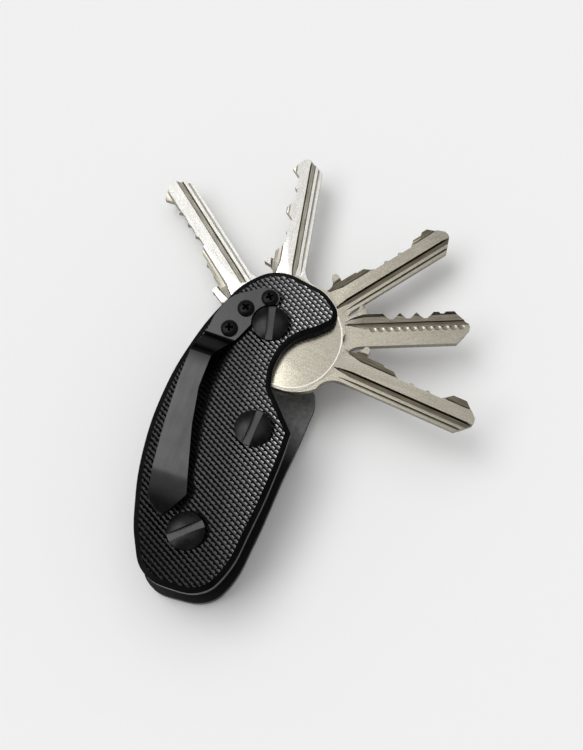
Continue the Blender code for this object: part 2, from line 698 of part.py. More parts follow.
add_plate("rear_plate", False, REAR_PLATE_Z, (0.028, 0.028, 0.029))
add_plate("front_plate", True, FRONT_PLATE_Z, (0.012, 0.012, 0.0125))
for post, (x, y, slot_angle) in POSTS.items():
    add_post(post, x, y, slot_angle)
add_sleeve_and_spacers()
add_washers()
add_clip()
add_clip_screws()
for number, key in enumerate(KEYS, 1):
    add_key(number, *key)
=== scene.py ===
# %% [markdown]
# # A key organizer on a pale table
#
# The part is already built and packed: two plates, three posts, five keys that swing on the pivot, and a clip.
# This lesson gives it its looks. Each step says what a piece is on the real object, how it could be made in
# Blender, and why this way was taken. Every length is in metres, and +Z points up from the table.

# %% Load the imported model
import math

import bmesh
import bpy
from mathutils import Matrix, Vector


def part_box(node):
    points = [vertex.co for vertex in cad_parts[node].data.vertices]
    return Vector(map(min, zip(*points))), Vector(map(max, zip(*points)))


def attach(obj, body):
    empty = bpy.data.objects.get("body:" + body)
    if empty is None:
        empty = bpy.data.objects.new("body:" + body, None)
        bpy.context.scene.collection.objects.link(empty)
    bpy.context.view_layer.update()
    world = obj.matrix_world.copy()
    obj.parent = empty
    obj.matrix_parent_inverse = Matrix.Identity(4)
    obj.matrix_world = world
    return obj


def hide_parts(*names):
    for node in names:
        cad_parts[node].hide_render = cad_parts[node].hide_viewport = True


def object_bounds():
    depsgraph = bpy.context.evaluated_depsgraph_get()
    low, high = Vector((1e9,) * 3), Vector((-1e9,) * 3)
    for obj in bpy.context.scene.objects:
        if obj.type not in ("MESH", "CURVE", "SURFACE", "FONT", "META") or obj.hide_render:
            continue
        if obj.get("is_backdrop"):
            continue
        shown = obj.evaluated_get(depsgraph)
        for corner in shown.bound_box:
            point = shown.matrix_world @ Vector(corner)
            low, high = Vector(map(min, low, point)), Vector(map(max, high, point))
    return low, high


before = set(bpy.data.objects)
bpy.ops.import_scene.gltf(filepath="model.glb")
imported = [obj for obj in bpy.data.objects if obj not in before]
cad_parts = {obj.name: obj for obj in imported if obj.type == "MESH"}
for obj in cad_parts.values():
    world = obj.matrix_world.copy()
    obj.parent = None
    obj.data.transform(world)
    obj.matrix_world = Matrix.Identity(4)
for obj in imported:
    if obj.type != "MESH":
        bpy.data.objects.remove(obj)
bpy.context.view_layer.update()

# %% [markdown]
# ## The camera
#
# The picture was taken from the lower right, about 25 cm above the table, with a slight tilt. A camera can be
# turned by hand until the view fits, or placed by three facts: where it stands, what it looks at, and how far its
# top leans to the left. The second way is easy to read and to change, so it is used here.

# %% Place the camera
CAMERA_PLACE = Vector((0.04388, -0.08654, 0.25395))
CAMERA_AIM = Vector((0.00891, -0.01004, 0.01965))
CAMERA_LEAN = 20.48
CAMERA_LENS = 67.48
SENSOR_WIDTH = 36.0
NEAREST_SEEN = 0.01

view_line = (CAMERA_AIM - CAMERA_PLACE).normalized()
leaning_up = Matrix.Rotation(math.radians(CAMERA_LEAN), 3, "Z") @ Vector((0, 1, 0))
camera_right = view_line.cross(leaning_up).normalized()
camera_up = camera_right.cross(view_line)

camera_data = bpy.data.cameras.new("photo_camera")
camera_data.sensor_fit = "HORIZONTAL"
camera_data.sensor_width = SENSOR_WIDTH
camera_data.lens = CAMERA_LENS
camera_data.clip_start = NEAREST_SEEN
camera = bpy.data.objects.new("photo_camera", camera_data)
bpy.context.scene.collection.objects.link(camera)
turn = Matrix((camera_right, camera_up, -view_line)).transposed()
camera.matrix_world = Matrix.Translation(CAMERA_PLACE) @ turn.to_4x4()
bpy.context.scene.camera = camera
print("the camera stands", round(1000 * (CAMERA_AIM - CAMERA_PLACE).length), "mm from the front plate")

# %% [markdown]
# ## Light
#
# Small metal things are photographed under large soft panels, because metal shows what it faces. A panel can be
# an area lamp close by, or a sun lamp whose disc is made tens of degrees wide. The wide sun lights the whole table
# evenly, which a close panel doesn't, so each panel here is a wide sun. The main one hangs high at the left. A
# smaller one, lower and nearer to the camera, finds the long sides of the texture's ridges. A wide and dim one
# hangs over the far side of the keys. The side towards the camera is left dark, so that the grooves go black.

# %% Hang the panels
PANELS = {
    "main_panel": ((-0.44, 0.01, 0.898), 19.0, 3.0),
    "low_panel": ((-0.50, -0.43, 0.75), 10.0, 3.0),
    "top_panel": ((-0.12, 0.28, 0.95), 29.0, 0.80),
}


def hang_panel(name, towards, half_width, brightness):
    """A round panel far away: a direction to it, its half width in degrees, and how bright its face looks."""
    lamp = bpy.data.lights.new(name, "SUN")
    lamp.angle = math.radians(2 * half_width)
    lamp.energy = math.pi * brightness * math.sin(math.radians(half_width)) ** 2
    panel = bpy.data.objects.new(name, lamp)
    panel.rotation_euler = towards.to_track_quat("Z", "Y").to_euler()
    bpy.context.scene.collection.objects.link(panel)
    print(name, "adds", round(lamp.energy * towards.normalized().z / math.pi, 2), "to the table's light")


for name, (towards, half_width, brightness) in PANELS.items():
    hang_panel(name, Vector(towards), half_width, brightness)

# %% [markdown]
# ## The room
#
# A room gives a little light from all sides, and metal mirrors it. One grey could do both, but then the plates
# would mirror a pale sky and not look black. So the light is one even grey, and what the camera and the mirroring
# metal see is another: a pale backdrop low down all round, which fades to a dark ceiling overhead.

# %% Colour the room
ROOM_LIGHT = 0.41
BACKDROP_GREY = 0.863
CEILING_GREY = 0.04
BACKDROP_TOP = 0.25
BACKDROP_FADE = 0.15

scene = bpy.context.scene
scene.view_settings.view_transform = "Standard"
world = bpy.data.worlds.new("room")
scene.world = world
world.use_nodes = True
room = world.node_tree


def room_grey(share, first, second):
    """A grey between two, by share. Each is a grey or another node's colour."""
    node = room.nodes.new("ShaderNodeMix")
    node.data_type = "RGBA"
    room.links.new(share, node.inputs["Factor"])
    for socket, value in (("A", first), ("B", second)):
        if isinstance(value, float):
            node.inputs[socket].default_value = (value, value, value, 1)
        else:
            room.links.new(value, node.inputs[socket])
    return node.outputs["Result"]


direction = room.nodes.new("ShaderNodeTexCoord")
parts = room.nodes.new("ShaderNodeSeparateXYZ")
room.links.new(direction.outputs["Generated"], parts.inputs["Vector"])
overhead = room.nodes.new("ShaderNodeMapRange")
overhead.inputs["From Min"].default_value = BACKDROP_TOP
overhead.inputs["From Max"].default_value = BACKDROP_TOP + BACKDROP_FADE
room.links.new(parts.outputs["Z"], overhead.inputs["Value"])
seen_room = room_grey(overhead.outputs["Result"], BACKDROP_GREY, CEILING_GREY)
light_path = room.nodes.new("ShaderNodeLightPath")
seen = light_path.outputs["Is Camera Ray"]
for ray in ("Is Glossy Ray", "Is Transmission Ray"):
    either = room.nodes.new("ShaderNodeMath")
    either.operation = "MAXIMUM"
    room.links.new(seen, either.inputs[0])
    room.links.new(light_path.outputs[ray], either.inputs[1])
    seen = either.outputs["Value"]
room.links.new(room_grey(seen, ROOM_LIGHT, seen_room), room.nodes["Background"].inputs["Color"])
print("the room lights with", ROOM_LIGHT, "and is seen as", BACKDROP_GREY, "with", CEILING_GREY, "overhead")

# %% [markdown]
# ## A plain finish
#
# Every finish starts from a Principled shader. Its sockets can be fed by nodes, but a value that is the same all
# over a surface belongs on the socket itself, where it can't get lost when the model is saved in another format.
# A small class sets those values once for each finish.

# %% Start a finish
USUAL_SPECULAR = 0.5


class Finish:
    """A material and its shader, with the values that are the same all over it."""

    def __init__(self, name, colour, roughness, metallic, specular=USUAL_SPECULAR):
        self.material = bpy.data.materials.new(name)
        self.material.use_nodes = True
        self.tree = self.material.node_tree
        self.shader = self.tree.nodes["Principled BSDF"]
        self.shader.inputs["Base Color"].default_value = (*colour, 1)
        self.shader.inputs["Roughness"].default_value = roughness
        self.shader.inputs["Metallic"].default_value = metallic
        self.shader.inputs["Specular IOR Level"].default_value = specular


# %% [markdown]
# ## The table
#
# The organizer lies on pale, matt paper. A box or a curved sweep could carry it, but one flat sheet that reaches
# far past the picture is enough, since its edge is never seen and the backdrop takes over behind it.

# %% Lay the table
TABLE_GREY = 0.93
TABLE_HALF = 3.0
PAPER_ROUGHNESS = 0.9

paper = Finish("table_paper", (TABLE_GREY, TABLE_GREY, TABLE_GREY), PAPER_ROUGHNESS, 0.0, 0.0)
sheet = bmesh.new()
bmesh.ops.create_grid(sheet, x_segments=1, y_segments=1, size=TABLE_HALF)
table_mesh = bpy.data.meshes.new("table")
sheet.to_mesh(table_mesh)
sheet.free()
table_mesh.materials.append(paper.material)
table = bpy.data.objects.new("table", table_mesh)
bpy.context.scene.collection.objects.link(table)
table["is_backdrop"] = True
print("the table reaches", TABLE_HALF, "m to each side")

# %% [markdown]
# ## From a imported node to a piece
#
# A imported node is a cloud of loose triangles. To dress it, a copy is welded and its flat faces are made whole
# again. The copy could be used as it is, but no machined edge is perfectly sharp, and the thin bright line along
# an edge is what makes metal look like metal. So a Bevel modifier rounds the sharp edges a little, and the faces
# between them are shaded smooth.

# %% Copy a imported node
WELD = 0.000002
FLAT_ANGLE = math.radians(0.8)


def welded_copy(node, whole_faces=True):
    """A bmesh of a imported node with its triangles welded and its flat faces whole."""
    shape = bmesh.new()
    shape.from_mesh(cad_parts[node].data)
    bmesh.ops.remove_doubles(shape, verts=shape.verts, dist=WELD)
    if whole_faces:
        bmesh.ops.dissolve_limit(shape, angle_limit=FLAT_ANGLE, verts=shape.verts, edges=shape.edges)
    return shape


# %% Round a piece and put it in its place
SHARP_EDGE = 35.0
PIECES = bpy.data.collections.new("dressed_pieces")
bpy.context.scene.collection.children.link(PIECES)


def place_piece(name, shape, finishes, body, stands_for=(), rounding=0.0, smooth_angle=SHARP_EDGE):
    """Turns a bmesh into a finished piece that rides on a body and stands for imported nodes."""
    mesh = bpy.data.meshes.new(name)
    shape.to_mesh(mesh)
    shape.free()
    for finish in finishes:
        mesh.materials.append(finish.material)
    if smooth_angle:
        mesh.shade_smooth()
        mesh.set_sharp_from_angle(angle=math.radians(smooth_angle))
    piece = bpy.data.objects.new(name, mesh)
    PIECES.objects.link(piece)
    if rounding:
        bevel = piece.modifiers.new("rounded_edges", "BEVEL")
        bevel.width = rounding
        bevel.segments = 2
        bevel.limit_method = "ANGLE"
        bevel.angle_limit = math.radians(smooth_angle)
        bevel.harden_normals = True
    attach(piece, body)
    if stands_for:
        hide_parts(*stands_for)
    print(name, "has", len(mesh.polygons), "faces")
    return piece


# %% [markdown]
# ## Mottled finishes
#
# No real surface is quite even. An image could carry its marks, or a noise that is worked out from the piece's own
# coordinates, in metres. The noise needs no file and no unwrapping, and it stays with the piece as it turns, so it
# is used here: a coarse one for the colour, a finer one for the roughness, and the finest for the height. Its
# scale counts its waves along one metre.

# %% Let a finish vary over the piece
class MottledFinish(Finish):
    """A finish whose colour, roughness and height can wander."""

    def __init__(self, *values):
        super().__init__(*values)
        self.place = self.tree.nodes.new("ShaderNodeTexCoord").outputs["Object"]

    def link(self, output, socket):
        self.tree.links.new(output, socket)

    def noise(self, scale, detail=3.0, place=None):
        """A noise from 0 to 1, mostly near its middle."""
        node = self.tree.nodes.new("ShaderNodeTexNoise")
        node.inputs["Scale"].default_value = scale
        node.inputs["Detail"].default_value = detail
        self.link(place or self.place, node.inputs["Vector"])
        return node.outputs["Fac"]

    def spread(self, value, low, high, from_low=0.3, from_high=0.7):
        """A value's range, spread from low to high. The range is the middle of a noise unless it is given."""
        node = self.tree.nodes.new("ShaderNodeMapRange")
        node.inputs["From Min"].default_value = from_low
        node.inputs["From Max"].default_value = from_high
        node.inputs["To Min"].default_value = low
        node.inputs["To Max"].default_value = high
        self.link(value, node.inputs["Value"])
        return node.outputs["Result"]

    def between(self, share, first, second):
        """A colour between two, by share. Each is a colour or another node's colour."""
        node = self.tree.nodes.new("ShaderNodeMix")
        node.data_type = "RGBA"
        self.link(share, node.inputs["Factor"])
        for socket, value in (("A", first), ("B", second)):
            if isinstance(value, tuple):
                node.inputs[socket].default_value = (*value, 1)
            else:
                self.link(value, node.inputs[socket])
        return node.outputs["Result"]

    def colour(self, output):
        self.link(output, self.shader.inputs["Base Color"])

    def roughness(self, output):
        self.link(output, self.shader.inputs["Roughness"])

    def bump(self, value, depth):
        """Raises and lowers the look of the surface, depth in metres."""
        node = self.tree.nodes.new("ShaderNodeBump")
        node.inputs["Strength"].default_value = 1.0
        node.inputs["Distance"].default_value = depth
        self.link(value, node.inputs["Height"])
        self.link(node.outputs["Normal"], self.shader.inputs["Normal"])

    def vary_colour(self, scale, first, second):
        self.colour(self.between(self.spread(self.noise(scale), 0.0, 1.0), first, second))

    def vary_roughness(self, scale, low, high):
        self.roughness(self.spread(self.noise(scale), low, high))

    def vary_height(self, scale, depth, detail=2.0):
        self.bump(self.noise(scale, detail), depth)


# %% [markdown]
# ## Finishes by place
#
# Handling marks a thing where hands reach it. The marks could be painted on by hand, or follow a coordinate. Here
# each one runs along a single direction of the piece, so a coordinate says it in one line. Some finishes also need
# their noise stretched or turned along the piece, as the marks of a tool are.

# %% Let a finish know where it is
class PlacedFinish(MottledFinish):
    """A mottled finish that changes from one end of the piece to the other."""

    def coordinate(self, axis, place=None):
        """How far along X, Y or Z a spot lies."""
        node = self.tree.nodes.new("ShaderNodeSeparateXYZ")
        self.link(place or self.place, node.inputs["Vector"])
        return node.outputs[axis]

    def maths(self, operation, first, second=0.0):
        node = self.tree.nodes.new("ShaderNodeMath")
        node.operation = operation
        for socket, value in zip(node.inputs, (first, second)):
            if isinstance(value, (int, float)):
                socket.default_value = value
            else:
                self.link(value, socket)
        return node.outputs["Value"]

    def turned_place(self, angle=0.0, centre=(0, 0, 0), scale=(1, 1, 1)):
        """The coordinates, moved to a centre, turned about Z and stretched."""
        shift = self.tree.nodes.new("ShaderNodeMapping")
        shift.inputs["Location"].default_value = [-c for c in centre]
        self.link(self.place, shift.inputs["Vector"])
        turn = self.tree.nodes.new("ShaderNodeMapping")
        turn.inputs["Rotation"].default_value = (0, 0, -angle)
        self.link(shift.outputs["Vector"], turn.inputs["Vector"])
        stretch = self.tree.nodes.new("ShaderNodeMapping")
        stretch.inputs["Scale"].default_value = scale
        self.link(turn.outputs["Vector"], stretch.inputs["Vector"])
        return stretch.outputs["Vector"]


# %% [markdown]
# ## Black plates: the smooth skin
#
# Anodising dyes the skin of the aluminium black. It could be made as a dark metal, but the dyed layer is clear
# and lies on top, so it mirrors as a plastic does, weakly and without colour. It is satin, and a little uneven.

# %% Skin of the smooth bevels and edges
SKIN_BLACK = (0.004, 0.004, 0.0042)
SKIN_BLACKER = tuple(0.55 * c for c in SKIN_BLACK)

plate_skin = MottledFinish("anodised_smooth", SKIN_BLACK, 0.36, 0.0, 0.10)
plate_skin.vary_colour(260.0, SKIN_BLACKER, SKIN_BLACK)
plate_skin.vary_roughness(700.0, 0.31, 0.43)
plate_skin.vary_height(9000.0, 0.000003)
print("the smooth skin reflects about", SKIN_BLACK[0], "of the light")

# %% [markdown]
# ## Black plates: the texture's skin
#
# The texture is black as well, but its ridges flash in the light, and they are painted brighter towards the nose,
# most of all on their points: partly wear from a hand, and partly a painted sheen. A dyed skin with a stronger gloss
# turns grey all over. A dark metal keeps the grooves black and lets only the facets that face a panel shine, so the
# texture is a dark metal. The points are found by their height, and the part with wear and painted sheen by a mix
# of X and Y.

# %% Skin of the diamond texture
FACE_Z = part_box("front_plate")[1].z
BACK_FACE_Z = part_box("rear_plate")[0].z
GRIP_DEPTH = 0.00024
POINT_SHARE = 0.5
# Towards the nose the ridges, and most of all their points, are painted brighter: partly wear, partly painted sheen.
WEAR_AND_SHEEN_BY_X, WEAR_AND_SHEEN_BY_Y = 3.0, 0.6
WEAR_AND_SHEEN_ON_RIDGES = (-0.055, -0.005)
WEAR_AND_SHEEN_ON_POINTS = (-0.012, 0.018)
RIDGE_DARK, RIDGE_WEAR_AND_SHEEN = (0.032, 0.032, 0.0322), (0.052, 0.052, 0.053)
POINT_WEAR_AND_SHEEN = (0.50, 0.50, 0.51)


def texture_wear_and_sheen(name, face_z, upwards):
    """A dark metal painted brighter towards the nose, and most on the texture's points: partly wear, partly painted
    sheen.
    """
    finish = PlacedFinish(name, RIDGE_WEAR_AND_SHEEN, 0.22, 1.0)
    half_up = face_z - upwards * POINT_SHARE * GRIP_DEPTH
    on_points = finish.spread(finish.coordinate("Z"), 0.0, 1.0, half_up, face_z)
    across = finish.maths("MULTIPLY", finish.coordinate("X"), WEAR_AND_SHEEN_BY_X)
    along = finish.maths("MULTIPLY", finish.coordinate("Y"), WEAR_AND_SHEEN_BY_Y)
    wear_and_sheen = finish.maths("ADD", across, along)
    ridges = finish.between(finish.spread(wear_and_sheen, 0.0, 1.0, *WEAR_AND_SHEEN_ON_RIDGES), RIDGE_DARK, RIDGE_WEAR_AND_SHEEN)
    uneven = finish.spread(finish.noise(420.0), 0.7, 1.0)
    points_wear_and_sheen = finish.maths("MULTIPLY", finish.spread(wear_and_sheen, 0.0, 1.0, *WEAR_AND_SHEEN_ON_POINTS), uneven)
    finish.colour(finish.between(finish.maths("MULTIPLY", on_points, points_wear_and_sheen), ridges, POINT_WEAR_AND_SHEEN))
    finish.vary_roughness(900.0, 0.19, 0.27)
    finish.vary_height(9000.0, 0.000003)
    return finish


front_grip_skin = texture_wear_and_sheen("anodised_front_texture", FACE_Z, 1)
back_grip_skin = texture_wear_and_sheen("anodised_back_texture", BACK_FACE_Z, -1)
print("the texture is", 1000 * GRIP_DEPTH, "mm deep, under the face at", round(1000 * FACE_Z, 2), "mm")

# %% [markdown]
# ## Black plates: the horn
#
# The rear plate's horn stands out past the notch. Its inner face gets a pale grey, partly pocket dust and partly
# painted light on a face that lies in shade, which fades to clean black lower down. A thumb has worn its upper edge
# to bare aluminium. The grey could be a layer of its own, but it has no thickness to see, so it is a pale colour
# that comes in along Y.

# %% Dust, painted light and bare metal of the horn
# The horn's pale grey is partly dust and partly painted light; lower down it fades to black.
DUST_AND_LIGHT_STARTS_Y, DUST_AND_LIGHT_FULL_Y = -0.026, -0.015
DUST_AND_LIGHT_DARK, DUST_AND_LIGHT_PALE = (0.15, 0.15, 0.152), (0.25, 0.25, 0.252)

inner_skin = PlacedFinish("anodised_horn_dust_and_painted_light", DUST_AND_LIGHT_DARK, 0.55, 0.0, 0.3)
dust_and_light = inner_skin.spread(inner_skin.coordinate("Y"), 0.0, 1.0, DUST_AND_LIGHT_STARTS_Y, DUST_AND_LIGHT_FULL_Y)
specks = inner_skin.spread(inner_skin.noise(900.0, 4.0), 0.0, 1.0)
inner_skin.colour(inner_skin.between(dust_and_light, SKIN_BLACK, inner_skin.between(specks, DUST_AND_LIGHT_DARK, DUST_AND_LIGHT_PALE)))
inner_skin.vary_roughness(1200.0, 0.45, 0.62)
inner_skin.vary_height(4000.0, 0.000004, 3.0)
bare_edge = MottledFinish("bare_aluminium_edge", (0.62, 0.62, 0.61), 0.30, 1.0)
bare_edge.vary_roughness(2000.0, 0.22, 0.42)
bare_edge.vary_height(4000.0, 0.000005, 3.0)
print("the dust comes in over", round(1000 * (DUST_AND_LIGHT_FULL_Y - DUST_AND_LIGHT_STARTS_Y)), "mm")

# %% [markdown]
# ## The milled diamond texture
#
# Deep grooves, a millimetre apart, leave ridges, and shallower ones the other way notch the ridges into long
# points. A bump map would shine as flat, and a displaced grid would need hundreds of thousands of faces. Here the
# plate's own face is sliced along every line where two facets meet, and each corner is then lowered to its height,
# so that each facet is truly flat.

# %% Slice a sheet along parallel lines
ON_THE_LINE = 1e-7


def slice_lines(shape, sheet, normal, pitch, start=0.0):
    """Cuts a sheet's faces along parallel lines, a pitch apart: in the middle first, then each half by itself."""
    reach = [vert.co.dot(normal) / pitch - start for vert in shape.verts]
    pending = [(sheet, math.ceil(min(reach)), math.floor(max(reach)))]
    done = []
    while pending:
        faces, first, last = pending.pop()
        if first > last or not faces:
            done += faces
            continue
        line = (first + last) // 2
        offset = pitch * (line + start)
        corners = {vert for face in faces for vert in face.verts}
        sides = {side for face in faces for side in face.edges}
        cut = bmesh.ops.bisect_plane(
            shape, geom=[*corners, *sides, *faces], plane_co=normal * offset, plane_no=normal, dist=ON_THE_LINE
        )
        pieces = [item for item in cut["geom"] if isinstance(item, bmesh.types.BMFace)]
        beyond = [face for face in pieces if face.calc_center_median().dot(normal) > offset]
        before = [face for face in pieces if face.calc_center_median().dot(normal) <= offset]
        pending += [(before, first, line - 1), (beyond, line + 1, last)]
    return done


# %% Find the texture's height at a place
GROOVE_PITCH = 0.00100
GROOVE_TURN = math.radians(26.5)
NOTCH_FLOOR = 0.4
ACROSS_RIDGES = Vector((math.sin(GROOVE_TURN), math.cos(GROOVE_TURN), 0))
ACROSS_NOTCHES = Vector((math.sin(GROOVE_TURN), -math.cos(GROOVE_TURN), 0))


def from_groove(place, normal):
    """0 in the middle of a groove and 1 halfway to the next one."""
    return abs((place.dot(normal) / GROOVE_PITCH + 0.5) % 1.0 - 0.5) * 2


def grip_height(place):
    """0 in a groove and 1 on a point, at this place."""
    return min(from_groove(place, ACROSS_RIDGES), NOTCH_FLOOR + from_groove(place, ACROSS_NOTCHES))


print("the grooves are", 1000 * GROOVE_PITCH, "mm apart, and a notch leaves", NOTCH_FLOOR, "of a ridge's height")

# %% Cut the texture into a thin sheet
FLATNESS = 0.000001
SHEET_BELOW_GROOVES = 0.00010


def textured_sheet(node, face_z, upwards):
    """A thin closed sheet on a plate's outer face, its outer side cut into ridges with notches."""
    shape = welded_copy(node, whole_faces=False)
    spare = [face for face in shape.faces if any(abs(vert.co.z - face_z) > FLATNESS for vert in face.verts)]
    bmesh.ops.delete(shape, geom=spare, context="FACES")
    grown = bmesh.ops.extrude_face_region(shape, geom=shape.faces[:], use_keep_orig=True)["geom"]
    foot = {item for item in grown if isinstance(item, bmesh.types.BMVert)}
    for vert in foot:
        vert.co.z = face_z - upwards * (GRIP_DEPTH + SHEET_BELOW_GROOVES)
    sheet = [face for face in shape.faces if not foot.intersection(face.verts)]
    sheet = slice_lines(shape, sheet, ACROSS_RIDGES, GROOVE_PITCH / 2)
    sheet = slice_lines(shape, sheet, ACROSS_NOTCHES, GROOVE_PITCH)
    for start in (NOTCH_FLOOR / 2, -NOTCH_FLOOR / 2):
        sheet = slice_lines(shape, sheet, Vector((1, 0, 0)), GROOVE_PITCH / math.sin(GROOVE_TURN) / 2, start)
        sheet = slice_lines(shape, sheet, Vector((0, 1, 0)), GROOVE_PITCH / math.cos(GROOVE_TURN) / 2, start)
    for vert in {vert for face in sheet for vert in face.verts}:
        vert.co.z = face_z - upwards * GRIP_DEPTH * (1 - grip_height(vert.co))
    bmesh.ops.recalc_face_normals(shape, faces=shape.faces)
    return shape


# %% [markdown]
# ## Front and rear plates
#
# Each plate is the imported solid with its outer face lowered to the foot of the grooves, and the textured sheet
# lies on it. The texture could be joined to the plate, but a piece of its own keeps its many faces sharp while the
# plate's edges are rounded. The horn's worn edge gets a bevel of its own, because its bare metal is wider than the
# rounding of the other edges.

# %% Lower a plate's face and wear the horn's edge
BODY_BELOW_GROOVES = 0.00002
INNER_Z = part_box("rear_plate")[1].z
HORN_X, HORN_Y = 0.0052, -0.0160
HORN_WEAR = 0.00024
CORNER = math.radians(60)


def plate_body(node, face_z, upwards):
    """The plate under its texture, its outer face lowered to the foot of the grooves."""
    shape = welded_copy(node)
    for vert in shape.verts:
        if abs(vert.co.z - face_z) < FLATNESS:
            vert.co.z -= upwards * (GRIP_DEPTH + BODY_BELOW_GROOVES)
    return shape


def worn_horn(shape):
    """The rear plate's horn: its inner face gets the pale grey of dust and painted light, and the thumb has worn its
    upper edge down to bare metal.
    """
    worn = []
    for face in shape.faces:
        if all(abs(vert.co.z - INNER_Z) < FLATNESS for vert in face.verts):
            face.material_index = 1
            worn += [edge for edge in face.edges if all(HORN_X < v.co.x and HORN_Y < v.co.y for v in edge.verts)]
    worn = [edge for edge in set(worn) if edge.calc_face_angle(0.0) > CORNER]
    cut = bmesh.ops.bevel(
        shape, geom=worn, offset=HORN_WEAR, offset_type="OFFSET", segments=2, profile=0.5, affect="EDGES",
        clamp_overlap=True, material=-1,
    )
    for face in cut["faces"]:
        face.material_index = 2
    print("the horn's worn edge has", len(worn), "sides")
    return shape


# %% Front and rear plates
EDGE_ROUNDING = 0.00014

place_piece(
    "front_plate_body", plate_body("front_plate", FACE_Z, 1), [plate_skin], "handle",
    ["front_plate"], EDGE_ROUNDING,
)
place_piece(
    "front_plate_texture", textured_sheet("front_plate", FACE_Z, 1), [front_grip_skin], "handle",
    smooth_angle=0.0,
)
place_piece(
    "rear_plate_body", worn_horn(plate_body("rear_plate", BACK_FACE_Z, -1)), [plate_skin, inner_skin, bare_edge],
    "handle", ["rear_plate"], EDGE_ROUNDING,
)
place_piece(
    "rear_plate_texture", textured_sheet("rear_plate", BACK_FACE_Z, -1), [back_grip_skin], "handle",
    smooth_angle=0.0,
)

# %% [markdown]
# ## Pocket clip
#
# The clip is spring steel under a satin black coat, greyer than the plates. Its bends come from the imported node.
# One coat all over could serve, but the coat has three tones along Y: the base paler, as a painted sheen, the steep
# ramp below it near-black, as painted shade, and the long arm the coat's own grey with patches. Fine streaks run
# the length of it, as a rubbed sheet's do.

# %% Clip
RAMP_TOP_Y, RAMP_END_Y = -0.0070, -0.0132
COAT_STEP = 0.0002
# The base's paler tone is painted sheen, and the ramp's near-black is painted shade.
BASE_PAINTED_SHEEN = (0.080, 0.080, 0.081)
RAMP_PAINTED_SHADE = (0.007, 0.007, 0.007)
ARM_COAT_DARK, ARM_COAT_PALE = (0.040, 0.040, 0.0404), (0.048, 0.048, 0.0484)
CLIP_ROUNDING = 0.00012
FINE_EDGE = 25.0

clip_coat = PlacedFinish("satin_clip_coat", ARM_COAT_PALE, 0.27, 1.0)
on_base = clip_coat.spread(clip_coat.coordinate("Y"), 0.0, 1.0, RAMP_TOP_Y, RAMP_TOP_Y + COAT_STEP)
on_arm = clip_coat.spread(clip_coat.coordinate("Y"), 1.0, 0.0, RAMP_END_Y - COAT_STEP, RAMP_END_Y)
patches = clip_coat.spread(clip_coat.noise(180.0), 0.0, 1.0)
arm_coat = clip_coat.between(patches, ARM_COAT_DARK, ARM_COAT_PALE)
below_base = clip_coat.between(on_arm, RAMP_PAINTED_SHADE, arm_coat)
clip_coat.colour(clip_coat.between(on_base, below_base, BASE_PAINTED_SHEEN))
streaks = clip_coat.noise(900.0, 3.0, clip_coat.turned_place(scale=(1.0, 0.06, 1.0)))
clip_coat.roughness(clip_coat.spread(streaks, 0.24, 0.30))
clip_coat.vary_height(5000.0, 0.000002)
place_piece(
    "pocket_clip_dressed", welded_copy("pocket_clip"), [clip_coat], "handle", ["pocket_clip"],
    CLIP_ROUNDING, FINE_EDGE,
)

# %% [markdown]
# ## Turned and slotted shapes
#
# The heads are turned on a lathe and then slotted. A turned piece could start as a cylinder, but a profile spun
# round its axis gives the dome, its rim and the shank in one go, as the lathe does. The slot is cut by a Boolean,
# as the saw cuts it.

# %% Spin a profile, and cut one shape from another
TURNED_STEPS = 64


def spun(profile, x=0.0, y=0.0, steps=TURNED_STEPS):
    """A closed profile of (radius, height) points, or one that ends on the axis, spun about a post."""
    shape = bmesh.new()
    points = [shape.verts.new((radius, 0, height)) for radius, height in profile]
    ring = points if profile[0][0] == 0 else points + points[:1]
    edges = [shape.edges.new(pair) for pair in zip(ring[:-1], ring[1:])]
    bmesh.ops.spin(
        shape, geom=points + edges, cent=(0, 0, 0), axis=(0, 0, 1), angle=math.tau, steps=steps, use_merge=True
    )
    bmesh.ops.remove_doubles(shape, verts=shape.verts, dist=WELD)
    bmesh.ops.recalc_face_normals(shape, faces=shape.faces)
    bmesh.ops.translate(shape, verts=shape.verts, vec=(x, y, 0))
    return shape


def cut_away(shape, cutter):
    """The first bmesh less the second, by a Boolean that is applied at once."""
    pair = []
    for part in (shape, cutter):
        mesh = bpy.data.meshes.new("scratch")
        part.to_mesh(mesh)
        part.free()
        pair.append(bpy.data.objects.new("scratch", mesh))
        bpy.context.scene.collection.objects.link(pair[-1])
    step = pair[0].modifiers.new("cut", "BOOLEAN")
    step.operation = "DIFFERENCE"
    step.solver = "EXACT"
    step.object = pair[1]
    step.use_self = True
    bpy.context.view_layer.update()
    cut = bmesh.new()
    cut.from_object(pair[0], bpy.context.evaluated_depsgraph_get())
    for scratch in pair:
        mesh = scratch.data
        bpy.data.objects.remove(scratch)
        bpy.data.meshes.remove(mesh)
    bmesh.ops.remove_doubles(cut, verts=cut.verts, dist=WELD)
    return cut


# %% [markdown]
# ## Blackened steel
#
# Screws are blackened in a hot bath, which leaves a thin, uneven, oily black. One finish could do for every face,
# but the three kinds differ: the big domes are smooth and glossy, the small pan heads duller, and the slots'
# floors show the greyer steel that a screwdriver has scraped.

# %% Finishes of the screws
OXIDE_DARK, OXIDE_PALE = (0.003, 0.003, 0.0032), (0.010, 0.010, 0.0102)

